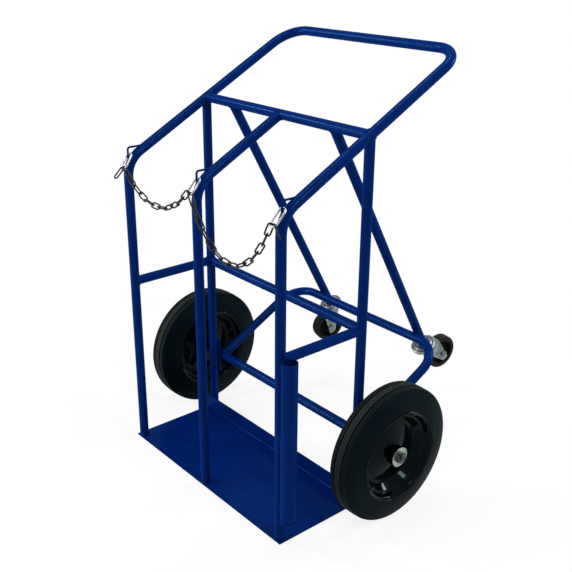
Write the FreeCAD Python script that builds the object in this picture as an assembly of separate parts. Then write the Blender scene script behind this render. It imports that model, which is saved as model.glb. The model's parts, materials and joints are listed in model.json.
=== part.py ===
"""Gas cylinder trolley for two bottles: welded tube frame, two large wheels, two tilting castors.

Millimetres. X runs along the axle, Y from front to back, Z up. The origin is on the floor,
in the middle of the base plate's underside.
"""
import FreeCAD, Part
import math
import os

V = FreeCAD.Vector
ORIGIN = V(0, 0, 0)
X_AXIS = V(1, 0, 0)
Y_AXIS = V(0, 1, 0)
Z_AXIS = V(0, 0, 1)

# Frame tubes
tube_od = 28.0
tube_wall = 2.0
upright_spacing = 692.0
frame_depth = 286.0
elbow_height = 924.0
arm_slope = 28.0
handle_reach = 620.0
bend_radius = 80.0
rail_height = 548.0
weld_gap = 0.05

# Base plate, folded up along its back edge
plate_thickness = 3.0
plate_side_margin = 5.0
plate_front_margin = 0.5
upstand_height = 52.0
plate_bend = 4.0

# Rod holder tube beside the right front upright
holder_od = 44.0
holder_wall = 2.0
holder_bottom = 80.0
holder_top = 556.0
holder_cap_thickness = 3.0

# Axle, its tube and the straps that carry it
axle_diameter = 20.0
axle_fit = 0.05
strap_thickness = 5.0
strap_height = 120.0
strap_corner = 6.0
washer_diameter = 58.0
washer_thickness = 3.0
axle_nut_across = 30.0
axle_nut_height = 9.0
axle_end = 3.0
axle_chamfer = 2.0
end_play = 0.3

# Large wheels: a rubber tyre on a rim of two pressed halves
wheel_radius = 200.0
wheel_gap = 49.5
tyre_width = 60.0
tread_rib_width = 19.0
tread_groove_width = 5.0
tread_groove_depth = 4.0
side_rib_width = 6.5
side_rib_drop = 1.0
fine_groove_width = 2.0
fine_groove_depth = 2.5
shoulder_radius = 6.0
tyre_side_bulge = 1.5
tyre_base_step = 4.0
tyre_edge_gap = 1.0
tyre_edge_flare = 1.5
tyre_edge_rise = 1.5
rim_width = 84.0
rim_sheet = 2.5
rim_bend = 4.0
rim_dish = 16.0
rim_ring_radius = 88.0
rim_ring_width = 10.0
rim_wall_run = 15.0
rim_wall_rise = 20.0
rim_shelf_run = 5.0
rim_shelf_rise = 1.5
rim_well_run = 7.0
rim_lip_run = 7.0
rim_lip_rise = 4.5
rim_edge_radius = 2.2
hub_length = 78.0
hub_od = 58.0
bearing_od = 47.0
bearing_width = 14.0
bearing_shoulder = 2.5

# Castor frame and the struts that brace it
castor_leg_spacing = 666.0
castor_bar_reach = 648.0
castor_bar_height = 372.0
castor_bend_radius = 92.0
strut_spacing = 430.0
strut_sink = 1.0

# Swivel castors on the struts' lower ends
castor_drop = 61.0
castor_seat_height = 12.0
castor_height = 135.0
castor_trail = 44.5
castor_wheel_radius = 54.5
castor_wheel_width = 32.0
castor_tyre_depth = 14.0
castor_rim_depth = 6.0
castor_rim_width = 28.0
castor_web_width = 10.0
castor_hub_radius = 14.0
castor_shoulder_drop = 5.6
castor_tread_width = 21.0
castor_shoulder_bulge = 1.6
castor_head_radius = 39.0
castor_head_flat = 19.5
castor_head_drop = 9.0
castor_sheet = 3.0
castor_crown_radius = 33.0
castor_crown_flat = 15.6
castor_crown_drop = 6.0
castor_leg_front = 19.0
castor_leg_back = 46.0
castor_tip_front = 13.0
castor_tip_back = 11.0
castor_tip_drop = 26.0
castor_tip_corner = 5.0
castor_side_gap = 2.5
castor_bolt_diameter = 10.0
castor_bolt_across = 17.0
castor_bolt_head = 6.0
castor_bolt_end = 2.5
king_bolt_diameter = 12.0
king_bolt_across = 19.0
king_bolt_head = 7.0
left_castor_angle = 256.6
right_castor_angle = 84.3

# Wire eyes on the three elbows
eye_wire = 6.0
eye_standoff = 22.0
eye_angle = 132.0
eye_bend = 7.0
eye_sink = 6.0

# Snap hooks
hook_wire = 6.0
hook_length = 52.0
hook_half_width = 11.0
hook_behind_wire = 6.7
hook_below_wire = 19.2
left_hook_angle = 12.0
centre_hook_angle = 0.0
right_hook_angle = -5.0
gate_top = 17.0
gate_hinge = 37.0
gate_tongue = 2.4
gate_play = 0.15
gate_pin_diameter = 2.0
gate_pin_length = 4.8
gate_pin_fit = 0.06
gate_nose_gap = 0.4

# Chains
link_wire = 4.5
link_length = 34.0
link_width = 9.5
link_slack = 0.2
chain_clearance = 1.5
left_chain_links = 11
right_chain_links = 14
left_tail_direction = V(-0.22, -0.6, -0.77)
right_tail_direction = V(0.66, -0.1, -0.74)
link_roll_angle = 22.0

# Shortest straight run between two bends of a wire, and how far a drill runs past a face
least_straight = 0.01
drill_overrun = 1.0

# Places that follow from the sizes above
tube_r = tube_od / 2
half_spacing = upright_spacing / 2
slope = math.radians(arm_slope)
plate_depth = frame_depth + plate_front_margin - weld_gap
y_plate_front = -plate_depth / 2
y_plate_back = plate_depth / 2
y_front = y_plate_front + plate_front_margin + tube_r
y_rear = y_front + frame_depth
y_handle = y_front + handle_reach
y_axle = y_rear + tube_od + strap_thickness + 2 * weld_gap
y_castor = y_front + castor_bar_reach
plate_half_width = half_spacing + tube_r + plate_side_margin
x_wheel = half_spacing + tube_r + wheel_gap + tyre_width / 2
x_hub_inner = x_wheel - hub_length / 2
x_hub_outer = x_wheel + hub_length / 2
x_tube_end = x_hub_inner - 2 * end_play - washer_thickness


def arm_height(y):
    """Height of the sloping arms' axes at a distance from front to back."""
    return elbow_height + (y - y_front) * math.tan(slope)


# The struts pass behind the castor bar, and each one's line is also the swivel line of its castor,
# which comes down to the floor when the trolley is tipped back until that line is upright.
strut_offset = tube_od - strut_sink
strut_back = y_castor - y_rear
strut_rise = arm_height(y_rear) - castor_bar_height
strut_lean = math.atan2(strut_back, strut_rise) + math.asin(strut_offset / math.hypot(strut_back, strut_rise))
castor_axis = V(0, -math.sin(strut_lean), math.cos(strut_lean))
castor_uphill = V(0, math.cos(strut_lean), math.sin(strut_lean))


def castor_face(sign):
    """Middle of a strut's lower end, where its castor sits."""
    bar = V(sign * strut_spacing / 2, y_castor, castor_bar_height)
    return bar + castor_uphill * strut_offset - castor_axis * castor_drop


# Shape helpers

def biggest(shape):
    return max(shape.Solids, key=lambda solid: solid.Volume)


def joined(pieces):
    """One solid from touching pieces."""
    return biggest(pieces[0].multiFuse(pieces[1:]).removeSplitter())


def rod(start, end, radius):
    run = end - start
    return Part.makeCylinder(radius, run.Length, start, run)


def unit(vector):
    return V(vector).normalize()


def bar_along(points, bend, radius):
    """Round bar along straight runs, every corner bent to the same radius."""
    pieces = []
    start = points[0]
    for before, corner, after in zip(points, points[1:], points[2:]):
        run_in = unit(corner - before)
        run_out = unit(after - corner)
        turn = run_in.getAngle(run_out)
        trim = bend * math.tan(turn / 2)
        bend_start = corner - run_in * trim
        inward = unit(run_out - run_in * math.cos(turn))
        pieces.append(rod(start, bend_start, radius))
        section = Part.Face(Part.Wire(Part.Circle(bend_start, run_in, radius).toShape()))
        pieces.append(section.revolve(bend_start + inward * bend, run_in.cross(run_out), math.degrees(turn)))
        start = corner + run_out * trim
    pieces.append(rod(start, points[-1], radius))
    if len(pieces) == 1:
        return pieces[0]
    return joined(pieces)


class Tube:
    """A bent tube, with the envelope that other tubes are cut back to."""

    def __init__(self, points, od=tube_od, wall=tube_wall, bend=bend_radius):
        self.solid = bar_along(points, bend, od / 2).cut(bar_along(points, bend, od / 2 - wall))
        self.envelope = bar_along(points, bend, od / 2 + weld_gap)


def cope(solid, *neighbours):
    """Cuts a solid back to its neighbours' surfaces, leaving the weld gap."""
    for neighbour in neighbours:
        solid = solid.cut(neighbour)
    return biggest(solid)


def is_arc(corner):
    return isinstance(corner[0], tuple)


def outline(corners):
    """Closed line in the XZ plane: a corner is (x, z), an arc is its middle and its end."""
    edges = []
    here = V(corners[0][0], 0, corners[0][1])
    for corner in corners[1:] + corners[:1]:
        if is_arc(corner):
            middle = V(corner[0][0], 0, corner[0][1])
            end = V(corner[1][0], 0, corner[1][1])
            edges.append(Part.Arc(here, middle, end).toShape())
        else:
            end = V(corner[0], 0, corner[1])
            edges.append(Part.LineSegment(here, end).toShape())
        here = end
    return Part.Wire(edges)


def symmetric(corners):
    """Whole outline from the half above the middle plane."""
    ends = [corner[1] if is_arc(corner) else corner for corner in corners]
    mirrored = [(ends[-1][0], -ends[-1][1])]
    for corner, before in zip(corners[:0:-1], ends[-2::-1]):
        end = (before[0], -before[1])
        if is_arc(corner):
            mirrored.append(((corner[0][0], -corner[0][1]), end))
        else:
            mirrored.append(end)
    return corners + mirrored


def bulged(start, end, bulge):
    """Arc from one corner to another that stands out to the left of the straight line."""
    side = unit(V(start[1] - end[1], 0, end[0] - start[0])) * bulge
    middle = ((start[0] + end[0]) / 2 + side.x, (start[1] + end[1]) / 2 + side.z)
    return middle, end


def bent_sheet(points, bend, thickness):
    """Outline of a sheet bent along a line of corners, each bend of the same middle radius."""
    runs = [unit(b - a) for a, b in zip(points, points[1:])]
    squares = [V(-run.z, 0, run.x) for run in runs]
    forth = []
    back = []
    for side, offset in ((forth, thickness / 2), (back, -thickness / 2)):
        first = points[0] + squares[0] * offset
        last = points[-1] + squares[-1] * offset
        arcs = []
        for i, corner in enumerate(points[1:-1]):
            turn = runs[i].getAngle(runs[i + 1])
            trim = bend * math.tan(turn / 2)
            depth = bend / math.cos(turn / 2) - bend
            inward = unit(runs[i + 1] - runs[i])
            middle = corner + inward * depth + unit(squares[i] + squares[i + 1]) * offset
            arcs.append((corner - runs[i] * trim + squares[i] * offset, middle,
                         corner + runs[i + 1] * trim + squares[i + 1] * offset))
        if side is back:
            first, last = last, first
            arcs = [arc[::-1] for arc in reversed(arcs)]
        side.append((first.x, first.z))
        for start, middle, end in arcs:
            side.append((start.x, start.z))
            side.append(((middle.x, middle.z), (end.x, end.z)))
        side.append((last.x, last.z))
    return forth + back


def turned(corners):
    """Solid of revolution about the Z axis."""
    return Part.Face(outline(corners)).revolve(ORIGIN, Z_AXIS, 360)


def ring(inner, outer, low, high):
    return turned([(inner, low), (outer, low), (outer, high), (inner, high)])


def hexagon(across, low, high, hole=0.0):
    """Hexagonal nut or bolt head along the Z axis."""
    reach = across / math.sqrt(3)
    corners = [V(reach * math.cos(math.radians(60 * i)), reach * math.sin(math.radians(60 * i)), low)
               for i in range(7)]
    solid = Part.Face(Part.makePolygon(corners)).extrude(V(0, 0, high - low))
    if hole:
        solid = solid.cut(Part.makeCylinder(hole, high - low, V(0, 0, low)))
    return solid


def facing(shape, x_direction, z_direction, place):
    """Moves a shape so that its own X and Z axes point as given."""
    moved = shape.copy()
    y_direction = z_direction.cross(x_direction)
    turn = FreeCAD.Rotation(x_direction, y_direction, z_direction, "ZXY")
    moved.Placement = FreeCAD.Placement(place, turn).multiply(shape.Placement)
    return moved


def save(node, *solids):
    shape = solids[0] if len(solids) == 1 else Part.makeCompound(list(solids))
    shape.exportStep("parts/" + node + ".step")


# Frame

def front_path(x):
    """Foot and elbow of one front tube."""
    return [V(x, y_front, plate_thickness + weld_gap), V(x, y_front, elbow_height)]


def make_frame():
    handle_ends = [V(x, y_handle, arm_height(y_handle)) for x in (-half_spacing, half_spacing)]
    path = front_path(-half_spacing) + handle_ends + front_path(half_spacing)[::-1]
    handle = Tube(path)
    bar_centre = V(0, y_rear, arm_height(y_rear))
    side = V(half_spacing, 0, 0)
    top_bar = Tube([bar_centre - side, bar_centre + side])
    divider = Tube(front_path(0) + [bar_centre])
    save("handle_frame", handle.solid)
    save("centre_divider", cope(divider.solid, top_bar.envelope))
    uprights = []
    rails = []
    for name, sign in (("left", -1), ("right", 1)):
        x = sign * half_spacing
        upright = Tube([V(x, y_rear, 0), V(x, y_rear, arm_height(y_rear))])
        save(name + "_rear_upright", cope(upright.solid, handle.envelope))
        rail = Tube([V(x, y_front, rail_height), V(x, y_rear, rail_height)])
        save(name + "_side_rail", cope(rail.solid, handle.envelope, upright.envelope))
        uprights.append(upright.envelope)
        rails.append(rail.envelope)
        strap = Part.makeBox(tube_od, strap_thickness, strap_height,
                             V(x - tube_r, y_rear + tube_r + weld_gap, wheel_radius - strap_height / 2))
        corners = [edge for edge in strap.Edges if edge.BoundBox.YLength > edge.BoundBox.DiagonalLength / 2]
        save(name + "_axle_strap", strap.makeFillet(strap_corner, corners))
    save("top_cross_bar", cope(top_bar.solid, handle.envelope, *uprights))
    cross_rail = Tube([V(-half_spacing, y_rear, rail_height), V(half_spacing, y_rear, rail_height)])
    save("rear_cross_rail", cope(cross_rail.solid, *uprights, *rails))
    return handle, divider, top_bar


def make_base_plate():
    """Flat sheet with its back edge folded up in front of the rear uprights."""
    inner = plate_bend
    outer = plate_bend + plate_thickness
    bend_y = y_plate_back - outer
    diagonal = math.sqrt(0.5)
    corners = [
        (y_plate_front, 0), (bend_y, 0),
        ((bend_y + outer * diagonal, outer - outer * diagonal), (y_plate_back, outer)),
        (y_plate_back, upstand_height), (y_plate_back - plate_thickness, upstand_height),
        (y_plate_back - plate_thickness, outer),
        ((bend_y + inner * diagonal, outer - inner * diagonal), (bend_y, plate_thickness)),
        (y_plate_front, plate_thickness),
    ]
    section = Part.Face(outline(corners))
    section.rotate(ORIGIN, Z_AXIS, 90)
    section.translate(V(-plate_half_width, 0, 0))
    save("base_plate", section.extrude(V(2 * plate_half_width, 0, 0)))


def make_rod_holder():
    radius = holder_od / 2
    bore = radius - holder_wall
    place = V(half_spacing + tube_r + radius + weld_gap, y_front, 0)
    tube = ring(bore, radius, holder_bottom + holder_cap_thickness + weld_gap, holder_top)
    cap = Part.makeCylinder(radius, holder_cap_thickness, V(0, 0, holder_bottom))
    save("rod_holder", tube.translated(place))
    save("rod_holder_cap", cap.translated(place))


def make_castor_frame(top_bar):
    """U-shaped tube behind the axle, braced from the top cross bar."""
    axle_left = V(-x_tube_end, y_axle, wheel_radius)
    axle_right = V(x_tube_end, y_axle, wheel_radius)
    bore_wall = tube_r - axle_diameter / 2 - axle_fit
    axle_tube = Tube([axle_left, axle_right], tube_od, bore_wall)
    save("axle_tube", axle_tube.solid)
    half = castor_leg_spacing / 2
    path = [V(-half, y_axle, wheel_radius), V(-half, y_castor, castor_bar_height),
            V(half, y_castor, castor_bar_height), V(half, y_axle, wheel_radius)]
    castor_frame = Tube(path, bend=castor_bend_radius)
    save("castor_frame", cope(castor_frame.solid, axle_tube.envelope))
    for name, sign in (("left", -1), ("right", 1)):
        top = V(sign * strut_spacing / 2, y_rear, arm_height(y_rear))
        strut = Tube([top, castor_face(sign) + castor_axis * weld_gap])
        save(name + "_strut", cope(strut.solid, top_bar.envelope, castor_frame.envelope))


# Axle and large wheels

def on_axle(shape, sign=1):
    """Lays a shape made along Z on the axle line, its +Z end towards the given side."""
    return facing(shape, -Z_AXIS * sign, X_AXIS * sign, V(0, y_axle, wheel_radius))


def make_axle():
    radius = axle_diameter / 2
    x_washer = x_hub_outer + end_play
    x_nut = x_washer + washer_thickness
    reach = x_nut + axle_nut_height + axle_end
    tip = radius - axle_chamfer
    axle = turned([(0, -reach), (tip, -reach), (radius, -reach + axle_chamfer),
                   (radius, reach - axle_chamfer), (tip, reach), (0, reach)])
    save("axle", on_axle(axle))
    bore = radius + axle_fit
    x_inner = x_tube_end + end_play
    washers = []
    nuts = []
    for sign in (-1, 1):
        for x in (x_inner, x_washer):
            washers.append(on_axle(ring(bore, washer_diameter / 2, x, x + washer_thickness), sign))
        nuts.append(on_axle(hexagon(axle_nut_across, x_nut, x_nut + axle_nut_height, bore), sign))
    save("axle_washers", *washers)
    save("axle_nuts", *nuts)


def rim_line():
    """Middle line of one rim half, from the hub out to the edge of its lip."""
    ring_z = (rim_sheet + weld_gap) / 2
    ring_end = V(rim_ring_radius + rim_ring_width, 0, ring_z)
    shelf = ring_end + V(rim_wall_run, 0, rim_wall_rise)
    shelf_end = shelf + V(rim_shelf_run, 0, rim_shelf_rise)
    well = V(shelf_end.x + rim_well_run, 0, rim_width / 2 - rim_lip_rise)
    lip = well + V(rim_lip_run, 0, rim_lip_rise)
    return [V(hub_od / 2 - rim_sheet, 0, ring_z + rim_dish), V(rim_ring_radius, 0, ring_z),
            ring_end, shelf, shelf_end, well, lip]


def rim_shape():
    """Outer rim half: dished disc, flat ring against the other half, stepped wall, lip with a rolled edge."""
    line = rim_line()
    edge = Part.makeTorus(line[-1].x, rim_edge_radius, V(0, 0, line[-1].z))
    hub_hole = Part.makeCylinder(hub_od / 2 + weld_gap, hub_length, V(0, 0, -hub_length / 2))
    return joined([turned(bent_sheet(line, rim_bend, rim_sheet)), edge]).cut(hub_hole)


def tyre_shape():
    """Rubber tyre held between the rim's lips: centre rib, side ribs, rounded shoulders."""
    well, lip = rim_line()[-2:]
    lip_run = unit(lip - well)
    seat = well + V(lip_run.z, 0, -lip_run.x) * (rim_sheet / 2 + weld_gap)

    def on_lip(radius):
        return radius, seat.z + (radius - seat.x) * lip_run.z / lip_run.x

    edge_root = lip.x + rim_edge_radius + tyre_edge_gap
    edge = (edge_root + tyre_edge_flare, lip.z + tyre_edge_rise)
    half = tyre_width / 2
    top = wheel_radius - side_rib_drop
    shoulder = (top - shoulder_radius, half)
    round_off = shoulder_radius * (1 - math.sqrt(0.5))
    rib = tread_rib_width / 2
    groove = rib + tread_groove_width
    side_rib = groove + side_rib_width
    fine_groove = side_rib + fine_groove_width
    fine_floor = top - fine_groove_depth
    floor = wheel_radius - tread_groove_depth
    shape = turned(symmetric([
        on_lip(well.x + tyre_base_step), on_lip(edge_root), edge, bulged(edge, shoulder, tyre_side_bulge),
        ((top - round_off, half - round_off), (top, half - shoulder_radius)), (top, fine_groove),
        (fine_floor, fine_groove), (fine_floor, side_rib), (top, side_rib), (top, groove),
        (floor, groove), (floor, rib), (wheel_radius, rib)]))
    for z in (-lip.z, lip.z):
        shape = shape.cut(Part.makeTorus(lip.x, rim_edge_radius + weld_gap, V(0, 0, z)))
    return biggest(shape)


def hub_shape():
    half = hub_length / 2
    radius = hub_od / 2
    bore = bearing_od / 2 + weld_gap
    middle = bearing_od / 2 - bearing_shoulder
    seat = half - bearing_width - weld_gap
    return turned(symmetric([(radius, half), (bore, half), (bore, seat), (middle, seat)]))


def make_wheels():
    bearing_low = hub_length / 2 - bearing_width
    bearing = ring(axle_diameter / 2 + axle_fit, bearing_od / 2, bearing_low, hub_length / 2)
    pieces = {
        "tyre": [tyre_shape()],
        "rim_outer": [rim_shape()],
        "rim_inner": [rim_shape().rotated(ORIGIN, X_AXIS, 180)],
        "hub": [hub_shape()],
        "bearings": [bearing, bearing.rotated(ORIGIN, X_AXIS, 180)],
    }
    for name, sign in (("left", -1), ("right", 1)):
        for piece, shapes in pieces.items():
            placed = [on_axle(shape.translated(V(0, 0, x_wheel)), sign) for shape in shapes]
            save(name + "_" + piece, *placed)


# Swivel castors, made upright about Z with the strut's end at Z = 0 and the wheel trailing along X

def castor_head_shape():
    """Pressed cap that stays still under the strut."""
    hole = king_bolt_diameter / 2 + weld_gap
    low = -castor_head_drop - castor_sheet
    skirt = castor_head_radius - castor_sheet
    return turned([
        (hole, 0), (hole, -castor_sheet), (castor_head_flat, -castor_sheet), (skirt, -castor_head_drop),
        (skirt, low), (castor_head_radius, low), (castor_head_radius, -castor_head_drop + castor_sheet),
        (castor_head_flat + castor_sheet, 0)])


def castor_fork_shape():
    """Turning crown with two tapering legs down to the wheel bolt."""
    hole = king_bolt_diameter / 2 + weld_gap
    top = -castor_sheet - end_play
    low = -castor_head_drop - castor_sheet - castor_crown_drop
    crown = turned([
        (hole, top), (castor_crown_flat, top), (castor_crown_radius - castor_sheet, low + castor_sheet),
        (castor_crown_radius, low + castor_sheet), (castor_crown_radius, low), (hole, low)])
    inside = castor_wheel_width / 2 + castor_side_gap
    axle = V(castor_trail, 0, castor_wheel_radius - castor_height)
    tip_z = axle.z - castor_tip_drop
    tip_front = axle.x - castor_tip_front
    tip_back = axle.x + castor_tip_back
    cut = castor_tip_corner
    leg = Part.Face(outline([
        (-castor_leg_front, low), (castor_leg_back, low), (tip_back, tip_z + cut), (tip_back - cut, tip_z),
        (tip_front + cut, tip_z), (tip_front, tip_z + cut)])).extrude(V(0, castor_sheet, 0))
    bridge = Part.makeBox(castor_leg_front + castor_leg_back, 2 * (inside + castor_sheet), castor_sheet,
                          V(-castor_leg_front, -inside - castor_sheet, low - castor_sheet))
    bridge = bridge.cut(Part.makeCylinder(hole, castor_sheet, V(0, 0, low - castor_sheet)))
    legs = [leg.translated(V(0, inside, 0)), leg.translated(V(0, -inside - castor_sheet, 0))]
    fork = joined([crown, bridge] + legs)
    bolt = castor_bolt_diameter / 2 + weld_gap
    reach = inside + castor_sheet + drill_overrun
    return fork.cut(Part.makeCylinder(bolt, 2 * reach, axle - V(0, reach, 0), Y_AXIS))


def castor_king_bolt_shape():
    """Bolt that holds the fork up against the cap and screws into the seat."""
    low = -castor_head_drop - 2 * castor_sheet - castor_crown_drop - end_play
    head = hexagon(king_bolt_across, low - king_bolt_head, low)
    shank = Part.makeCylinder(king_bolt_diameter / 2, castor_seat_height - low, V(0, 0, low))
    return joined([head, shank])


def castor_bolt_shapes():
    outside = castor_wheel_width / 2 + castor_side_gap + castor_sheet + weld_gap
    radius = castor_bolt_diameter / 2
    end = outside + castor_bolt_head + castor_bolt_end
    head = hexagon(castor_bolt_across, -outside - castor_bolt_head, -outside)
    shank = Part.makeCylinder(radius, outside + end, V(0, 0, -outside))
    nut = hexagon(castor_bolt_across, outside, outside + castor_bolt_head, radius + weld_gap)
    return [joined([head, shank]), nut]


def castor_core_shape():
    """Moulded wheel centre running on the bolt."""
    hub = castor_wheel_width / 2 + castor_side_gap - end_play
    web = castor_web_width / 2
    rim = castor_rim_width / 2
    outer = castor_wheel_radius - castor_tyre_depth
    inner = outer - castor_rim_depth
    bore = castor_bolt_diameter / 2 + axle_fit
    return turned(symmetric([
        (bore, hub), (castor_hub_radius, hub), (castor_hub_radius, web),
        (inner, web), (inner, rim), (outer, rim)]))


def castor_tyre_shape():
    half = castor_wheel_width / 2
    seat = castor_wheel_radius - castor_tyre_depth + weld_gap
    shoulder = (castor_wheel_radius - castor_shoulder_drop, half)
    crown = (castor_wheel_radius, castor_tread_width / 2)
    return turned(symmetric([(seat, half), shoulder, bulged(shoulder, crown, castor_shoulder_bulge)]))


def make_castors():
    axle_place = V(castor_trail, 0, castor_wheel_radius - castor_height)
    thread = king_bolt_diameter / 2 + weld_gap
    seat = ring(thread, tube_r - tube_wall - weld_gap, weld_gap, castor_seat_height)
    king_bolts = []
    for name, sign, turn in (("left", -1, left_castor_angle), ("right", 1, right_castor_angle)):
        place = castor_face(sign)
        angle = math.radians(turn)
        trail = X_AXIS * math.cos(angle) + castor_uphill * math.sin(angle)
        across = castor_axis.cross(trail)
        wheel_centre = place + trail * axle_place.x + castor_axis * axle_place.z
        node = name + "_castor_"
        save(node + "seat", facing(seat, X_AXIS, castor_axis, place))
        save(node + "head", facing(castor_head_shape(), X_AXIS, castor_axis, place))
        save(node + "fork", facing(castor_fork_shape(), trail, castor_axis, place))
        save(node + "bolt", *[facing(shape, trail, across, wheel_centre) for shape in castor_bolt_shapes()])
        save(node + "core", facing(castor_core_shape(), trail, across, wheel_centre))
        save(node + "tyre", facing(castor_tyre_shape(), trail, across, wheel_centre))
        king_bolts.append(facing(castor_king_bolt_shape(), X_AXIS, castor_axis, place))
        print(name, "castor swivel at", place, "axis", castor_axis,
              "wheel centre", wheel_centre, "axis", across)
    save("castor_king_bolts", *king_bolts)


# Eyes, snap hooks and chains

def make_eyes(handle, divider):
    """Bent wire eyes over the outside of the elbows; returns the middle of the eyes' gap."""
    trim = bend_radius * math.tan((math.pi / 2 - slope) / 2)
    bend_y = y_front + bend_radius
    bend_z = elbow_height - trim
    distance = bend_radius + tube_r + eye_standoff
    angle = math.radians(eye_angle)
    corner_y = bend_y + distance * math.cos(angle)
    corner_z = bend_z + distance * math.sin(angle)
    surface = bend_radius + tube_r - eye_sink
    back_y = bend_y - math.sqrt(surface ** 2 - (corner_z - bend_z) ** 2)
    foot_z = bend_z + math.sqrt(surface ** 2 - (corner_y - bend_y) ** 2)
    elbows = (("left", -half_spacing, handle), ("centre", 0, divider), ("right", half_spacing, handle))
    for name, x, tube in elbows:
        path = [V(x, back_y, corner_z), V(x, corner_y, corner_z), V(x, corner_y, foot_z)]
        save(name + "_eye", cope(bar_along(path, eye_bend, eye_wire / 2), tube.envelope))
    return corner_y + hook_behind_wire, corner_z - hook_below_wire


class Hook:
    """Snap hook hanging in an eye: its plane holds the X axis and leans forward to the chain."""

    def __init__(self, x, lean, eye_y, eye_z, chain_y):
        forward = math.asin((eye_y - chain_y) / hook_length)
        down = V(0, -math.sin(forward), -math.cos(forward))
        tilt = math.radians(lean)
        self.across = X_AXIS * math.cos(tilt) - down * math.sin(tilt)
        self.down = down * math.cos(tilt) + X_AXIS * math.sin(tilt)
        self.normal = self.across.cross(self.down)
        self.top = V(x, eye_y, eye_z)
        self.bend = self.at(0, hook_length - hook_half_width)

    def at(self, across, down, out=0.0):
        return self.top + self.across * across + self.down * down + self.normal * out

    def seat(self, direction):
        """Where a link pulled in a direction bears on the bottom bend, and the wire's run there."""
        flat = unit(direction - self.normal * direction.dot(self.normal))
        return self.bend + flat * hook_half_width, flat.cross(self.normal)

    def slab(self, low, high, out_low, out_high):
        """Block across the hook's gate side, between two heights and two distances from its plane."""
        block = Part.makeBox(2 * hook_wire, high - low, out_high - out_low)
        place = self.at(hook_half_width - hook_wire, low, out_low)
        return facing(block, self.across, self.normal, place)

    def body(self):
        """Bent wire, open on the gate side, its lower end flattened to a tongue for the gate."""
        radius = hook_wire / 2
        half = hook_half_width
        tongue_end = gate_hinge - radius
        path = [self.at(half, gate_top), self.at(half, 0), self.at(-half, 0), self.at(-half, hook_length),
                self.at(half, hook_length), self.at(half, tongue_end)]
        wire = bar_along(path, half - least_straight, radius)
        shoulder = gate_hinge + radius + gate_play
        for out in (gate_tongue / 2, -gate_tongue / 2 - radius):
            wire = wire.cut(self.slab(tongue_end - radius, shoulder, out, out + radius))
        pin_hole = gate_pin_diameter / 2 + gate_pin_fit
        hinge = self.at(half, gate_hinge)
        return wire.cut(rod(hinge - self.normal * radius, hinge + self.normal * radius, pin_hole))

    def gate(self):
        """Gate rod, forked over the tongue, with its pin."""
        radius = hook_wire / 2
        half = hook_half_width
        bar = rod(self.at(half, gate_top + gate_nose_gap), self.at(half, gate_hinge), radius)
        cheek = rod(self.at(half, gate_hinge, -radius), self.at(half, gate_hinge, radius), radius)
        pin_radius = gate_pin_diameter / 2
        gap = gate_tongue / 2 + gate_play
        slot = self.slab(gate_hinge - 2 * radius - gate_play, gate_hinge + 2 * radius, -gap, gap)
        hinge_line = [self.at(half, gate_hinge, -radius), self.at(half, gate_hinge, radius)]
        across_end = bar.fuse(cheek.common(rod(self.at(half, gate_hinge - radius),
                                               self.at(half, gate_hinge + radius), radius)))
        gate = across_end.removeSplitter().cut(slot).cut(rod(*hinge_line, pin_radius))
        pin_reach = gate_pin_length / 2
        pin = rod(self.at(half, gate_hinge, -pin_reach), self.at(half, gate_hinge, pin_reach), pin_radius)
        return [biggest(gate), pin]


def link_shape():
    """Long chain link about its own middle: length along X, width along Y."""
    turn = (link_width + link_wire) / 2
    straight = link_length / 2 + link_wire / 2 - turn
    corners = [V(0, -turn, 0), V(straight + turn, -turn, 0), V(straight + turn, turn, 0),
               V(-straight - turn, turn, 0), V(-straight - turn, -turn, 0), V(0, -turn, 0)]
    return bar_along(corners, turn - least_straight, link_wire / 2)


def placed_link(centre, along, wide):
    return facing(link_shape(), along, along.cross(wide), centre)


class HangingLine:
    """Chain curve of a given length between two points, measured along the curve."""

    def __init__(self, start, end, length):
        self.start = start
        flat = V(end.x - start.x, end.y - start.y, 0)
        self.heading = unit(flat)
        span = flat.Length
        rise = end.z - start.z
        target = math.sqrt(length ** 2 - rise ** 2) / span
        low, high = 1e-6, 20.0
        for _ in range(80):
            middle = (low + high) / 2
            if math.sinh(middle) / middle < target:
                low = middle
            else:
                high = middle
        self.stretch = span / (2 * low)
        self.offset = span / 2 - self.stretch * math.atanh(rise / length)
        self.run_start = self.stretch * math.sinh(-self.offset / self.stretch)

    def at(self, run):
        flat = self.stretch * math.asinh((run + self.run_start) / self.stretch)
        height = self.stretch * (math.cosh(flat / self.stretch) - math.cosh(self.offset / self.stretch))
        return self.start + self.heading * (flat + self.offset) + Z_AXIS * height


def hanging_chain(first, last, count):
    """Interlocked links from one hook to another, each turned about a quarter from the one before."""
    step = link_length - 2 * link_slack
    overhang = hook_wire / 2 + link_slack
    start, end = first.bend, last.bend
    for _ in range(12):
        line = HangingLine(start, end, count * step - 2 * overhang)
        joints = [line.at(i * step - overhang) for i in range(count + 1)]
        directions = [unit(b - a) for a, b in zip(joints, joints[1:])]
        start, start_wire = first.seat(directions[0])
        end, end_wire = last.seat(-directions[-1])
    side = line.heading.cross(Z_AXIS)

    def twist(direction, wire):
        wide = direction.cross(wire)
        return math.atan2(wide.dot(direction.cross(side)), wide.dot(side))

    roll = math.radians(link_roll_angle)
    first_twist = twist(directions[0], start_wire) + roll
    last_twist = twist(directions[-1], end_wire) - roll
    turns = round(((count - 1) * math.pi / 2 - last_twist + first_twist) / math.pi)
    twist_step = (last_twist + turns * math.pi - first_twist) / (count - 1)
    links = []
    for i, along in enumerate(directions):
        angle = first_twist + i * twist_step
        wide = side * math.cos(angle) + along.cross(side) * math.sin(angle)
        links.append(placed_link((joints[i] + joints[i + 1]) * 0.5, along, wide))
    return links


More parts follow.
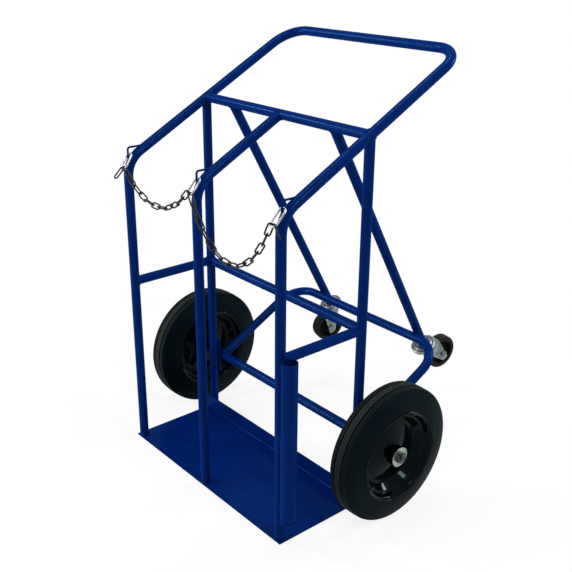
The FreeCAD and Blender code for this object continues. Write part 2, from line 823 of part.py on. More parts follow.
def tail_link(hook, direction):
    """Spare end link left hanging on a hook."""
    along = unit(direction)
    seat, wire = hook.seat(along)
    centre = seat + along * (link_length / 2 - hook_wire / 2 - link_slack)
    wide = unit(along.cross(wire))
    roll = math.radians(link_roll_angle)
    return placed_link(centre, along, wide * math.cos(roll) - along.cross(wide) * math.sin(roll))


def make_chains(eye_y, eye_z):
    link_half = link_width / 2 + link_wire
    chain_y = y_front - tube_r - link_half - chain_clearance
    left = Hook(-half_spacing, left_hook_angle, eye_y, eye_z, chain_y)
    centre = Hook(0.0, centre_hook_angle, eye_y, eye_z, chain_y)
    right = Hook(half_spacing, right_hook_angle, eye_y, eye_z, chain_y)
    for name, hook in (("left", left), ("centre", centre), ("right", right)):
        save(name + "_hook", hook.body())
        save(name + "_gate", *hook.gate())
        print(name, "gate hinge", hook.at(hook_half_width, gate_hinge), "axis", hook.normal)
    save("left_chain", *hanging_chain(left, centre, left_chain_links))
    save("right_chain", *hanging_chain(centre, right, right_chain_links))
    save("chain_tails", tail_link(left, left_tail_direction), tail_link(right, right_tail_direction))
    print("hooks swing about X through Y", eye_y, "Z", eye_z)


os.makedirs("parts", exist_ok=True)
handle_tube, divider_tube, top_bar_tube = make_frame()
make_base_plate()
make_rod_holder()
make_castor_frame(top_bar_tube)
make_axle()
make_wheels()
make_castors()
make_chains(*make_eyes(handle_tube, divider_tube))
print("axle at Y", y_axle, "Z", wheel_radius, "wheel middle at X", x_wheel)
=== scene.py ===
# %% [markdown]
# A gas cylinder trolley in a white studio.
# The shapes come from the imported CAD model, which stays where it is. This lesson gives each piece
# its finish, lays the weld beads that hold the tubes together, and sets up the light and the
# camera.

# %% Load the trolley
import json
import math

import bmesh
import bpy
from mathutils import Matrix, Vector
from mathutils.bvhtree import BVHTree


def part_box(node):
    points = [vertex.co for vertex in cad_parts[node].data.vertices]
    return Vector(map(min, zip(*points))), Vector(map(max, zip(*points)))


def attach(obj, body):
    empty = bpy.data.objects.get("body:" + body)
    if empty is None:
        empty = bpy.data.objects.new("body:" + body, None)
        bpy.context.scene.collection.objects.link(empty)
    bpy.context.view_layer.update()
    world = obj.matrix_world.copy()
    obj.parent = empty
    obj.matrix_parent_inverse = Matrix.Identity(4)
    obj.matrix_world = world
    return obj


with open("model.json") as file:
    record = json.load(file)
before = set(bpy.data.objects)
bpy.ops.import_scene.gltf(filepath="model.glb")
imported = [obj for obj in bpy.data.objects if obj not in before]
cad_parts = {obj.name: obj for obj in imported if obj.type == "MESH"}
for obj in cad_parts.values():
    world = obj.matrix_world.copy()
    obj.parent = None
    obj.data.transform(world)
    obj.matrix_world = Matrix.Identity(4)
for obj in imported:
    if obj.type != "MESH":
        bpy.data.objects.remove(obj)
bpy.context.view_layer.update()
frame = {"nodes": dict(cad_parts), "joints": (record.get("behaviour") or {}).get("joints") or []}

nodes = frame["nodes"]

# %% [markdown]
# The camera stands where the photographer stood: to the right of the front and above the handle.
# A camera could be aimed with a Track To constraint, but here its three axes are worked out from
# how far it is turned, tipped and rolled, so that every tube lands on its own line in the picture.
# The small shift only moves the picture's middle, as the cropped photograph does.

# %% Camera
PICTURE = 572
FOCAL_PIXELS = 872.3
PICTURE_MIDDLE = (273.92, 289.90)
SENSOR_MM = 36.0
camera_place = Vector((1.8361, -1.3869, 1.5420))
camera_turn = math.radians(50.307)
camera_tip = math.radians(22.387)
camera_roll = math.radians(-0.163)

ahead = Vector((-math.sin(camera_turn) * math.cos(camera_tip),
                math.cos(camera_turn) * math.cos(camera_tip),
                -math.sin(camera_tip)))
level = Vector((math.cos(camera_turn), math.sin(camera_turn), 0))
down = ahead.cross(level)
to_right = level * math.cos(camera_roll) + down * math.sin(camera_roll)
to_top = level * math.sin(camera_roll) - down * math.cos(camera_roll)

camera_data = bpy.data.cameras.new("studio_camera")
camera_data.sensor_width = SENSOR_MM
camera_data.lens = FOCAL_PIXELS * SENSOR_MM / PICTURE
camera_data.shift_x = (PICTURE / 2 - PICTURE_MIDDLE[0]) / PICTURE
camera_data.shift_y = (PICTURE_MIDDLE[1] - PICTURE / 2) / PICTURE
camera = bpy.data.objects.new("studio_camera", camera_data)
axes = Matrix((to_right, to_top, -ahead)).transposed().to_4x4()
camera.matrix_world = Matrix.Translation(camera_place) @ axes
bpy.context.collection.objects.link(camera)
bpy.context.scene.camera = camera
print("lens", round(camera_data.lens, 1), "mm")

# %% [markdown]
# A material is a small circuit of nodes. Joining them by hand is slow to read, so one class wraps
# a socket: sums written in Python add Math nodes, colours and vectors go through Mix and Vector
# Math nodes, and one method adds any other node.

# %% Wires
COLOUR_FACTOR, COLOUR_A, COLOUR_B, COLOUR_OUT = 0, 6, 7, 2


class Wire:
    """A socket in a node tree. Arithmetic on it adds Math nodes."""

    def __init__(self, tree, socket=None):
        self.tree = tree
        self.socket = socket

    def node(self, kind, settings=None, sockets=None, out=0):
        """Adds a node: first its settings, then the values or wires of its sockets."""
        made = self.tree.nodes.new(kind)
        for name, value in (settings or {}).items():
            setattr(made, name, value)
        for name, value in (sockets or {}).items():
            if isinstance(value, Wire):
                self.tree.links.new(value.socket, made.inputs[name])
            else:
                made.inputs[name].default_value = value
        return Wire(self.tree, made.outputs[out])

    def maths(self, operation, first, second=0.0):
        return self.node("ShaderNodeMath", {"operation": operation}, {0: first, 1: second})

    def __add__(self, other):
        return self.maths("ADD", self, other)

    def __radd__(self, other):
        return self.maths("ADD", other, self)

    def __sub__(self, other):
        return self.maths("SUBTRACT", self, other)

    def __rsub__(self, other):
        return self.maths("SUBTRACT", other, self)

    def __mul__(self, other):
        return self.maths("MULTIPLY", self, other)

    def __rmul__(self, other):
        return self.maths("MULTIPLY", other, self)

    def __pow__(self, other):
        return self.maths("POWER", self, other)

    def sine(self):
        return self.maths("SINE", self)

    def size(self):
        """The value without its sign."""
        return self.maths("ABSOLUTE", self)

    def between(self, low, high):
        """0 below low, 1 above high, and smooth between them."""
        return self.node("ShaderNodeMapRange", {"interpolation_type": "SMOOTHSTEP"},
                         {"Value": self, "From Min": low, "From Max": high})

    def colour(self, first, second):
        """A colour that goes from first to second as this wire goes from 0 to 1."""
        return self.node("ShaderNodeMix", {"data_type": "RGBA"},
                         {COLOUR_FACTOR: self, COLOUR_A: first, COLOUR_B: second}, COLOUR_OUT)

    def scaled(self, factor):
        """A colour or vector times a factor on each axis."""
        return self.vectors("MULTIPLY", self, factor)

    def vectors(self, operation, first, second=(0, 0, 0), out=0):
        return self.node("ShaderNodeVectorMath", {"operation": operation},
                         {0: first, 1: second}, out)


print("wires can be added, subtracted and multiplied from either side")

# %% [markdown]
# A finish is one material: where its patterns lie on the object, and the shader that they feed. The
# patterns use Object coordinates, which stay with a piece when it moves, so that nothing swims when
# a wheel turns. Masks that several finishes need, such as what faces up or how far a point is from
# an axle, are methods here, and so is painting a list of pieces.

# %% Finishes
FACING_UP = (0.3, 1.0)


class Finish(Wire):
    """A material under construction: its place on the object, and its shader."""

    def __init__(self, name, **constants):
        self.material = bpy.data.materials.new(name)
        self.material.use_nodes = True
        super().__init__(self.material.node_tree)
        self.shader = self.tree.nodes["Principled BSDF"]
        for socket, value in constants.items():
            self.shader.inputs[socket.replace("_", " ")].default_value = value
        self.place = self.node("ShaderNodeTexCoord", out="Object")

    def noise(self, scale, detail=2.0, roughness=0.5, place=None):
        return self.node("ShaderNodeTexNoise", None, {
            "Vector": place or self.place, "Scale": scale,
            "Detail": detail, "Roughness": roughness})

    def axis(self, name):
        return self.node("ShaderNodeSeparateXYZ", None, {0: self.place}, name)

    def from_line(self, point, direction):
        """How far the surface is from a line through a point."""
        offset = self.vectors("SUBTRACT", self.place, point)
        across = self.vectors("CROSS_PRODUCT", offset, direction)
        return self.vectors("LENGTH", across, out="Value")

    def upward(self):
        """1 where the surface faces up, 0 where it is upright or faces down."""
        normal = self.node("ShaderNodeNewGeometry", out="Normal")
        return self.node("ShaderNodeSeparateXYZ", None, {0: normal}, "Z").between(*FACING_UP)

    def feed(self, **wires):
        for socket, wire in wires.items():
            self.tree.links.new(wire.socket, self.shader.inputs[socket.replace("_", " ")])

    def bump(self, height, strength, distance=0.001):
        self.feed(Normal=self.node("ShaderNodeBump", None, {
            "Height": height, "Strength": strength, "Distance": distance}))

    def glaze(self, share, colour, roughness):
        """Lays a thin mirror, which takes a share of the light, over the shader."""
        mirror = self.node("ShaderNodeBsdfAnisotropic", None,
                           {"Color": colour, "Roughness": roughness})
        bump = self.shader.inputs["Normal"].links
        if bump:
            self.tree.links.new(bump[0].from_socket, mirror.socket.node.inputs["Normal"])
        under = Wire(self.tree, self.shader.outputs[0])
        self.show(self.node("ShaderNodeMixShader", None, {0: share, 1: under, 2: mirror}))

    def show(self, shader):
        self.tree.links.new(shader.socket, self.tree.nodes["Material Output"].inputs["Surface"])

    def paint(self, *names):
        for name in names:
            mesh = nodes[name].data
            mesh.materials.clear()
            mesh.materials.append(self.material)


def rgb(red, green, blue):
    return (red, green, blue, 1.0)


def sided(*names):
    """The left and right piece of each name."""
    return [side + "_" + name for name in names for side in ("left", "right")]


print("the tyres are", sided("tyre"))

# %% [markdown]
# All the steel tube is powder coated: a baked plastic skin, deep blue and glossy. Close up it has
# the faint ripple called orange peel, and a little dust lies on what faces up. The ripple is a
# smooth noise in a Bump node, kept so low that a lamp still shows as one thin line along a tube.
# The shader has a mirror of its own, but in a white room that would lay grey over the blue. So it
# is switched off, and a weak mirror with a blue tint is mixed in: a trace where a tube faces the
# eye, and more towards its edges, where every gloss is strongest.

# %% Blue powder coat
MIRROR_SHARE = 0.006
EDGE_SHARE = 0.045
DUST_SHARE = 0.012
coat = Finish("blue_powder_coat", Specular_IOR_Level=0.0)
drift = coat.noise(5.0, 3.0)
blue = drift.between(0.3, 0.7).colour(rgb(0.0001, 0.0112, 0.100), rgb(0.0003, 0.0136, 0.116))
dust = coat.upward() * coat.noise(38.0, 4.0, 0.6).between(0.45, 0.8) * DUST_SHARE
coat.feed(Base_Color=dust.colour(blue, rgb(0.05, 0.07, 0.12)))
coat.bump(coat.noise(240.0, 1.0), 0.015, 0.0004)
edge = coat.node("ShaderNodeLayerWeight", None, {"Blend": 0.5}, "Facing")
mirror_share = MIRROR_SHARE + edge ** 2 * EDGE_SHARE
coat.glaze(mirror_share, rgb(0.20, 0.58, 1.0), 0.21 + drift * 0.04 + dust)
coat.paint("handle_frame", "centre_divider", "top_cross_bar", "rear_cross_rail", "base_plate",
           "rod_holder", "rod_holder_cap", "axle_tube", "castor_frame", "centre_eye",
           *sided("rear_upright", "side_rail", "axle_strap", "strut", "eye", "castor_seat"))
print("blue powder coat is on the frame")

# %% [markdown]
# Castor pressings, hooks, washers and nuts are zinc plated. Zinc is a soft grey mirror with a
# cloudy skin, so it is a full metal whose brightness and roughness follow a slow noise and a finer
# one that is stretched the way the sheet was rolled. Each group has its own two greys, dull and
# bright.

# %% Zinc plate
CLOUD_SHARE = 0.65
ROLLED_STRETCH = (1.0, 9.0, 1.0)


def zinc_plate(name, dull, bright, roughness):
    zinc = Finish(name, Metallic=1.0)
    cloud = zinc.noise(42.0, 3.0, 0.55)
    rolled = zinc.noise(30.0, 4.0, 0.6, zinc.place.scaled(ROLLED_STRETCH))
    mottle = cloud * CLOUD_SHARE + rolled * (1 - CLOUD_SHARE)
    zinc.tone = mottle.between(0.38, 0.64).colour(dull, bright)
    zinc.feed(Base_Color=zinc.tone, Roughness=roughness + cloud * 0.16 + rolled * 0.06)
    zinc.bump(cloud, 0.05, 0.0003)
    return zinc


castor_zinc = zinc_plate("castor_zinc", rgb(0.11, 0.14, 0.14), rgb(0.30, 0.34, 0.34), 0.32)
castor_zinc.paint("castor_king_bolts", *sided("castor_fork", "castor_bolt"))
hook_zinc = zinc_plate("hook_zinc", rgb(0.26, 0.28, 0.30), rgb(0.54, 0.56, 0.57), 0.22)
hook_zinc.paint("centre_hook", "centre_gate", *sided("hook", "gate"))
print("zinc plate is on the castors and the hooks")

# %% [markdown]
# A castor's head is a ball race pressed from sheet, and the gaps between its rings lie in shade.
# That shade is painted as dark rings round the swivel. The swivel's place and direction are in the
# frame's joints, so the rings can be a wave of the distance from that line, and they stay round
# however the castor leans.

# %% Castor heads
SHADED_RING_WAVES = 640.0


def castor_head(side):
    swivel = next(j for j in frame["joints"] if j["name"] == side + "_castor_swivel")
    head = zinc_plate(side + "_castor_head_zinc",
                      rgb(0.13, 0.15, 0.16), rgb(0.27, 0.30, 0.31), 0.30)
    from_swivel = head.from_line(swivel["pos_m"], swivel["axis"])
    # the dark rings are painted shade: they stand for the shaded gaps between the race rings
    groove = (from_swivel * SHADED_RING_WAVES).sine().between(0.1, 0.8)
    head.feed(Base_Color=groove.colour(head.tone, rgb(0.020, 0.024, 0.026)))
    head.paint(side + "_castor_head")


for side in ("left", "right"):
    castor_head(side)
print("a groove every", round(2000 * math.pi / SHADED_RING_WAVES, 1), "mm from the swivel")

# %% [markdown]
# The washers on the axle's ends are zinc too, but those between the wheels and the frame lie in
# shade, and that shade is painted on them as a near black. How far a point lies from the middle of
# the trolley tells one washer from the other, so both share a material. The nuts are plain steel
# and darker, and the same dark grey on the axle, where it shows between the wheel and the frame, is
# painted shade.

# %% Axle ends
SHADE_PAINTED_TO = 0.42
SHADE_PAINTED_FADE = 0.01
axle_zinc = zinc_plate("axle_zinc", rgb(0.20, 0.24, 0.22), rgb(0.36, 0.41, 0.38), 0.20)
unshaded = axle_zinc.axis("X").size().between(SHADE_PAINTED_TO - SHADE_PAINTED_FADE, SHADE_PAINTED_TO)
# near black within the reach: painted shade on the washers between the wheels and the frame
axle_zinc.feed(Base_Color=unshaded.colour(rgb(0.010, 0.010, 0.011), axle_zinc.tone))
axle_zinc.paint("axle_washers")
# dark steel grey: the nuts' own darker steel, and painted shade on the axle between wheel and frame
nut_steel_and_axle_shade = zinc_plate("nut_steel_and_axle_shade", rgb(0.012, 0.018, 0.017), rgb(0.085, 0.105, 0.10), 0.20)
nut_steel_and_axle_shade.paint("axle", "axle_nuts", *sided("bearings"))
print("washers are shade_painted up to", SHADE_PAINTED_TO, "m from the middle")

# %% [markdown]
# The chains are blackened steel. They have a dull dark skin that is a little brighter where the
# links rub, which a fine noise can suggest without any drawing.

# %% Black chain
chain = Finish("blackened_chain", IOR=1.25)
rubbed = chain.noise(220.0, 5.0, 0.65).between(0.5, 0.75)
chain.feed(Base_Color=rubbed.colour(rgb(0.004, 0.005, 0.006), rgb(0.020, 0.022, 0.024)),
           Roughness=0.42 - rubbed * 0.15)
chain.bump(chain.noise(500.0, 3.0), 0.12, 0.0004)
chain.paint("left_chain", "right_chain", "chain_tails")
print("chains are black")

# %% [markdown]
# The large tyres are solid black rubber. Their sides are smooth with a few fine moulded rings by
# the shoulder, and the middle rib of the tread is dusty and a little brown where it has rolled. How
# far a point is from the axle, and from the middle of the tyre, tells that rib from the rest, so
# the mask follows the real shape.

# %% Tyre rubber
RING_WAVES = 1700.0
RIB_HALF_WIDTH = 0.0095
RIB_EDGE = 0.001
TREAD_STARTS = (0.984, 0.990)
RINGS_START = (0.89, 0.91)
RINGS_END = (0.955, 0.965)
GROOVE_DUST = 0.35
axle_low, axle_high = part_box("axle")
axle_middle = (axle_low + axle_high) / 2


def tyre_rubber(side):
    low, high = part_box(side + "_tyre")
    radius = (high.z - low.z) / 2
    rubber = Finish(side + "_tyre_rubber", IOR=1.08)
    reach = rubber.from_line(axle_middle, (1, 0, 0))
    aside = (rubber.axis("X") - (low.x + high.x) / 2).size()
    on_rib = 1 - aside.between(RIB_HALF_WIDTH, RIB_HALF_WIDTH + RIB_EDGE)

    def beyond(shares):
        return reach.between(radius * shares[0], radius * shares[1])

    tread = beyond(TREAD_STARTS) * (GROOVE_DUST + on_rib * (1 - GROOVE_DUST))
    rolled = rubber.noise(90.0, 5.0, 0.6)
    bloom = rubber.noise(11.0, 3.0).between(0.35, 0.75)
    side_colour = bloom.colour(rgb(0.0012, 0.0046, 0.0070), rgb(0.0032, 0.0082, 0.0108))
    rib_colour = rolled.colour(rgb(0.011, 0.015, 0.015), rgb(0.026, 0.031, 0.029))
    rubber.feed(Base_Color=tread.colour(side_colour, rib_colour),
                Roughness=0.40 + rolled * 0.10 + tread * 0.25)
    by_shoulder = beyond(RINGS_START) * (1 - beyond(RINGS_END))
    moulded_rings = (reach * RING_WAVES).sine() * by_shoulder
    rubber.bump(rubber.noise(420.0, 3.0) * 0.12 + moulded_rings * 0.5, 0.25, 0.0006)
    rubber.paint(side + "_tyre")
    return radius


for side in ("left", "right"):
    print(side, "tyre radius", round(tyre_rubber(side), 3))

# %% [markdown]
# The pressed rims are sprayed gloss black. They are the shiniest surface on the trolley, so the
# roughness is low and the lamps show as small sharp lights in the bowl. A low index of refraction
# keeps the white room from turning the black to grey.

# %% Rims
gloss = Finish("gloss_black_rim", IOR=1.15, Specular_Tint=rgb(0.55, 0.88, 1.0))
thin = gloss.noise(9.0, 3.0)
gloss.feed(Base_Color=thin.colour(rgb(0.0004, 0.0012, 0.0018), rgb(0.0012, 0.0026, 0.0034)),
           Roughness=0.04 + thin * 0.04 + gloss.noise(75.0, 4.0) * 0.02)
gloss.bump(gloss.noise(45.0, 2.0), 0.05, 0.0008)
gloss.paint(*sided("rim_outer", "rim_inner", "hub"))
print("rims are gloss black")

# %% [markdown]
# The castor wheels are a tougher rubber on a moulded black core. Both are plain plastics, told
# apart by how rough and how dark they are.

# %% Castor wheels
castor_rubber = Finish("castor_rubber", IOR=1.08)
worn = castor_rubber.noise(70.0, 5.0, 0.6)
castor_rubber.feed(Base_Color=worn.colour(rgb(0.010, 0.013, 0.013), rgb(0.026, 0.028, 0.027)),
                   Roughness=0.42 + worn * 0.2)
castor_rubber.bump(castor_rubber.noise(500.0, 4.0), 0.12, 0.0005)
castor_rubber.paint(*sided("castor_tyre"))

moulded = Finish("moulded_black_core", IOR=1.10)
skin = moulded.noise(160.0, 4.0)
moulded.feed(Base_Color=skin.colour(rgb(0.0010, 0.0016, 0.0020), rgb(0.0036, 0.0046, 0.0052)),
             Roughness=0.34 + skin * 0.15)
moulded.bump(moulded.noise(800.0, 3.0), 0.12, 0.0004)
moulded.paint(*sided("castor_core"))
print("castor wheels are rubber on moulded cores")

# %% [markdown]
# The tubes are welded where they meet, and a weld bead is a row of small overlapping ripples that
# fills the corner. The line of a bead could be drawn by hand, but it is already in the model: it is
# the border of the cut end of one tube, where it lies against the other. So the script finds the
# faces of a piece that touch its neighbour, and walks round the border of each such patch. A long
# face can have all its corners at the two ends of a tube, so its middle has to lie near as well.

# %% Where two pieces touch
TOUCHING = 0.0006
FACE_TOUCHING = 0.003


def surface_of(name):
    mesh = nodes[name].data
    return BVHTree.FromPolygons([v.co for v in mesh.vertices], [p.vertices for p in mesh.polygons])


def patches(faces):
    """Groups of faces that hang together. A dict keeps their order, so each run is the same."""
    left = dict.fromkeys(faces)
    while left:
        patch = dict.fromkeys([left.popitem()[0]])
        edge_of_search = list(patch)
        while edge_of_search:
            for edge in edge_of_search.pop().edges:
                for face in edge.link_faces:
                    if face in left:
                        del left[face]
                        patch[face] = None
                        edge_of_search.append(face)
        yield patch


def round_length(line):
    return sum((b - a).length for a, b in zip(line, line[1:] + line[:1]))


def border(patch):
    """The longest closed line round a patch of faces."""
    edges = dict.fromkeys(e for face in patch for e in face.edges
                          if sum(other in patch for other in e.link_faces) == 1)
    lines = []
    while edges:
        line = list(edges.popitem()[0].verts)
        while True:
            onward = [e for e in line[-1].link_edges if e in edges]
            if not onward:
                break
            del edges[onward[0]]
            line.append(onward[0].other_vert(line[-1]))
        lines.append([v.co.copy() for v in line[:-1]])
    return max(lines, key=round_length)


def contact_lines(branch, trunk):
    trunk_surface = surface_of(trunk)

    def touches(point, distance):
        return trunk_surface.find_nearest(point, distance)[0] is not None

    bm = bmesh.new()
    bm.from_mesh(nodes[branch].data)
    bmesh.ops.remove_doubles(bm, verts=bm.verts, dist=1e-6)
    near = {v for v in bm.verts if touches(v.co, TOUCHING)}
    ends = [f for f in bm.faces if near.issuperset(f.verts)
            and touches(f.calc_center_median(), FACE_TOUCHING)]
    found = [border(patch) for patch in patches(ends)]
    bm.free()
    return found


bar_ends = contact_lines("top_cross_bar", "handle_frame")
print("the top bar touches the handle frame", len(bar_ends), "times")

# %% [markdown]
# The points of such a line lie wherever the CAD mesh has them, close together in bends and far
# apart on straight runs. Ripples need an even step, so the line is walked once and points are set
# down at equal distances.

# %% Even steps
RIPPLE_LENGTH = 0.0040
RIPPLE_STEPS = 5
STEP = RIPPLE_LENGTH / RIPPLE_STEPS
FEWEST_STEPS = 12


def evenly(line, closed):
    """The same line with points a step apart."""
    path = line + line[:1] if closed else line
    lengths = [(b - a).length for a, b in zip(path, path[1:])]
    count = max(FEWEST_STEPS, round(sum(lengths) / STEP))
    spacing = sum(lengths) / count
    even = []
    index = 0
    passed = 0.0
    for i in range(count):
        while index < len(lengths) - 1 and passed + lengths[index] < i * spacing:
            passed += lengths[index]
            index += 1
        share = (i * spacing - passed) / max(lengths[index], 1e-9)
        even.append(path[index].lerp(path[index + 1], min(share, 1.0)))
    return even if closed else even + line[-1:]


even_end = evenly(bar_ends[0], True)
print("the first bar end has", len(bar_ends[0]), "points, and", len(even_end), "when even")

# %% [markdown]
# A bead is swept along its line as rings of points. Each ring is a little smaller than the one
# before until the next ripple starts, which gives the stacked look of a real weld. A bead round a
# tube closes on itself, and a short straight stitch has rounded ends.

# %% Weld bead
BEAD_RADIUS = 0.0026
RIPPLE_DEPTH = 0.18
BEAD_SIDES = 10
SMALLEST_END = 0.02
RING_TURNS = [2 * math.pi * k / BEAD_SIDES for k in range(BEAD_SIDES)]


def end_round(steps_in, radius):
    """Share of the full radius at some steps from the end of a stitch."""
    return math.sqrt(max(1 - (1 - min(steps_in * STEP / radius, 1)) ** 2, SMALLEST_END))


def add_bead(name, line, radius=BEAD_RADIUS, aside=None):
    """A bead round a closed line, or an open stitch whose rings stand square to its side."""
    closed = aside is None
    line = evenly(line, closed)
    count = len(line)
    middle = sum(line, Vector()) / count
    bm = bmesh.new()
    rings = []
    for i, point in enumerate(line):
        if closed:
            last, following = i - 1, (i + 1) % count
        else:
            last, following = max(i - 1, 0), min(i + 1, count - 1)
        run = (line[following] - line[last]).normalized()
        out = point - middle if closed else Vector(aside)
        out = (out - run * out.dot(run)).normalized()
        across = run.cross(out)
        size = radius * (1 - RIPPLE_DEPTH * (i % RIPPLE_STEPS) / RIPPLE_STEPS)
        if not closed:
            size *= end_round(min(i, count - 1 - i), radius)
        spokes = [out * math.cos(turn) + across * math.sin(turn) for turn in RING_TURNS]
        rings.append([bm.verts.new(point + spoke * size) for spoke in spokes])
    pairs = list(zip(rings, rings[1:])) + ([(rings[-1], rings[0])] if closed else [])
    for ring, after in pairs:
        for k in range(BEAD_SIDES):
            bm.faces.new((ring[k - 1], ring[k], after[k], after[k - 1]))
    if not closed:
        bm.faces.new(rings[0])
        bm.faces.new(rings[-1])
    bmesh.ops.recalc_face_normals(bm, faces=bm.faces)
    mesh = bpy.data.meshes.new(name)
    bm.to_mesh(mesh)
    bm.free()
    mesh.shade_smooth()
    mesh.materials.append(coat.material)
    bead = bpy.data.objects.new(name, mesh)
    bpy.context.collection.objects.link(bead)
    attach(bead, "frame")


print("a ripple is", RIPPLE_LENGTH * 1000, "mm long")

# %% [markdown]
# Now the beads themselves. Each pair names the piece that was cut to fit and the piece it was
# welded to, and a piece with two ends gets a bead on each. The wire eyes have smaller beads.

# %% Welds round the tube ends
EYE_BEAD_RADIUS = 0.0014


def weld(branch, trunk, radius=BEAD_RADIUS):
    lines = contact_lines(branch, trunk)
    for i, line in enumerate(lines):
        add_bead("weld_%s_to_%s_%d" % (branch, trunk, i + 1), line, radius)
    lengths = [round(1000 * round_length(line)) for line in lines]
    print("weld", branch, "to", trunk, "beads of", lengths, "mm")


weld("top_cross_bar", "handle_frame")
weld("centre_divider", "top_cross_bar")
weld("centre_divider", "base_plate")
weld("handle_frame", "base_plate")
weld("castor_frame", "axle_tube")
weld("rod_holder", "rod_holder_cap")
for side in ("left", "right"):
    upright = side + "_rear_upright"
    weld(upright, "handle_frame")
    weld(side + "_side_rail", "handle_frame")
    weld(side + "_side_rail", upright)
    weld("rear_cross_rail", upright)
    weld(side + "_strut", "top_cross_bar")
    weld(side + "_strut", "castor_frame")
    weld(side + "_eye", "handle_frame", EYE_BEAD_RADIUS)
weld("centre_eye", "centre_divider", EYE_BEAD_RADIUS)

# %% [markdown]
# Where a tube lies along another tube there is no cut end, and a welder lays short stitches in the
# groove instead. The rod holder stands beside the right front upright, so the two grooves between
# them follow from its box, and each gets three stitches.

# %% Stitches on the rod holder
GROOVE_DEPTH = 0.0089
GROOVE_SHIFT = 0.0006
STITCH_LENGTH = 0.030
STITCH_HEIGHTS = (0.06, 0.5, 0.94)
BACKWARD = (0, 1, 0)
holder_low, holder_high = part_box("rod_holder")
holder_middle = (holder_low + holder_high) / 2
for share in STITCH_HEIGHTS:
    z = holder_low.z + share * (holder_high.z - holder_low.z)
    for face, way in (("front", -1), ("back", 1)):
        groove = Vector((holder_low.x - GROOVE_SHIFT, holder_middle.y + way * GROOVE_DEPTH, z))
        reach = Vector((0, 0, STITCH_LENGTH / 2))
        name = "weld_rod_holder_%s_%d" % (face, round(share * 100))
        add_bead(name, [groove - reach, groove + reach], aside=BACKWARD)
print("stitches lie", GROOVE_DEPTH * 1000, "mm before and behind the rod holder's middle")

# %% [markdown]
# The rear uprights stand behind the folded edge of the base plate, and one stitch on either side of
# each tube holds it there. A stitch stops short of the floor and of the sheet's top edge, as a
# welder would stop to keep the edge from melting.

# %% Stitches on the base plate
SHEET_GROOVE = (0.0104, 0.0024)
STITCH_ENDS = (0.3, 0.9)
plate_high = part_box("base_plate")[1]
for side in ("left", "right"):
    low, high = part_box(side + "_rear_upright")
    upright_x = (low.x + high.x) / 2
    for way in (-1, 1):
        x = upright_x + way * SHEET_GROOVE[0]
        y = plate_high.y + SHEET_GROOVE[1]
        stitch = [Vector((x, y, plate_high.z * share)) for share in STITCH_ENDS]
        name = "weld_%s_foot_%s" % (side, "outer" if way * upright_x > 0 else "inner")
        add_bead(name, stitch, aside=BACKWARD)
print("the folded edge is", round(plate_high.z * 1000), "mm high")

# %% [markdown]
# A product picture has no walls: the floor runs white into a white world. A bright world would
# flood the trolley with light, so the Light Path node tells two uses apart: the camera and mirrors
# see plain white, and the trolley is lit by only a part of it.

# %% White world
FILL_LIGHT = 0.30
WHITE = rgb(1, 1, 1)


def seen_directly(wire):
    """1 for what the camera, a mirror or glass sees, 0 for light that bounces between things."""
    path = wire.tree.nodes.new("ShaderNodeLightPath")
    camera_ray = Wire(wire.tree, path.outputs["Is Camera Ray"])
    glossy_ray = Wire(wire.tree, path.outputs["Is Glossy Ray"])
    glass_ray = Wire(wire.tree, path.outputs["Is Transmission Ray"])
    mirrors = glossy_ray.maths("MAXIMUM", glossy_ray, glass_ray)
    return camera_ray.maths("MAXIMUM", camera_ray, mirrors)


world = bpy.data.worlds.new("white_studio")
world.use_nodes = True
bpy.context.scene.world = world
sky = Wire(world.node_tree)
background = world.node_tree.nodes["Background"]
background.inputs["Color"].default_value = WHITE
strength = FILL_LIGHT + seen_directly(sky) * (1.0 - FILL_LIGHT)
world.node_tree.links.new(strength.socket, background.inputs["Strength"])
print("the world lights the trolley with", FILL_LIGHT, "of its white")

# %% [markdown]
# The floor is a sheet of white paper that runs out of the picture. Paper alone would go grey where
# the light falls off, so a white glow is mixed in, again only for the camera and for mirrors. There
# is less of it near the trolley, where the paper still holds the faint shadow.

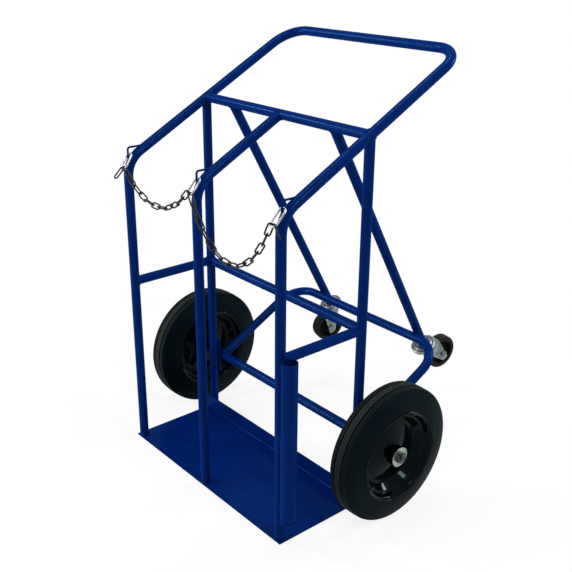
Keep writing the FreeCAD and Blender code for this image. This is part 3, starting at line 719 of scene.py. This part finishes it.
# %% White floor
FLOOR_SIZE = 90.0
FLOOR_DROP = 0.0005
GLOW_NEAR = 0.84
SHADOW_REACH = (0.7, 2.0)
floor_mesh = bpy.data.meshes.new("studio_floor")
half = FLOOR_SIZE / 2
corners = [(-half, -half, 0), (half, -half, 0), (half, half, 0), (-half, half, 0)]
floor_mesh.from_pydata(corners, [], [(0, 1, 2, 3)])
floor = bpy.data.objects.new("studio_floor", floor_mesh)
floor.location.z = -FLOOR_DROP
bpy.context.collection.objects.link(floor)
paper = Finish("white_paper", Roughness=0.9, Base_Color=rgb(0.9, 0.9, 0.9), Specular_IOR_Level=0.1)
away = paper.from_line((0, 0, 0), (0, 0, 1)).between(*SHADOW_REACH)
glow = paper.node("ShaderNodeEmission", None, {"Color": WHITE, "Strength": 1.0})
paper.show(paper.node("ShaderNodeMixShader", None, {
    0: seen_directly(paper) * (GLOW_NEAR + away * (1.0 - GLOW_NEAR)),
    1: Wire(paper.tree, paper.shader.outputs[0]), 2: glow}))
floor_mesh.materials.append(paper.material)
print("floor is", FLOOR_SIZE, "m wide")

# %% [markdown]
# Area lamps do the work of a studio. A narrow one shows in a round tube as one thin line when it
# hangs along the tube: the one overhead follows the sloping arms, and the one at the left follows
# the handle and the cross bar. The broad one in front gives each upright a light and a dark side,
# and the two at the right and behind light the near wheel and put small lights in its rim.

# %% Lamps
def area_lamp(name, place, target, size, power):
    data = bpy.data.lights.new(name, "AREA")
    data.shape = "RECTANGLE"
    data.size, data.size_y = size
    data.energy = power
    lamp = bpy.data.objects.new(name, data)
    lamp.location = place
    aim = Vector(target) - Vector(place)
    lamp.rotation_euler = aim.to_track_quat("-Z", "Y").to_euler()
    lamp.visible_camera = False
    bpy.context.collection.objects.link(lamp)
    print(name, round(power / (math.pi * size[0] * size[1])), "times as bright as white paper")


area_lamp("lamp_above", (-0.05, 0.3, 3.0), (-0.05, 0.31, 0.0), (0.25, 2.0), 28)
area_lamp("lamp_left", (-2.8, -2.0, 2.55), (0.0, 0.3, 1.1), (0.75, 0.34), 54)
area_lamp("lamp_behind", (1.33, 3.68, 1.82), (0.3, 0.16, 0.4), (1.20, 0.50), 62)
area_lamp("lamp_right", (2.2, 0.05, 2.4), (0.3, 0.15, 0.3), (0.46, 0.62), 26)
area_lamp("lamp_front", (-1.7, -2.9, 0.9), (0.0, 0.0, 0.5), (1.0, 1.0), 68)

# %% [markdown]
# The picture is shown plainly: no film look is laid over the colours.

# %% View
bpy.context.scene.view_settings.view_transform = "Standard"
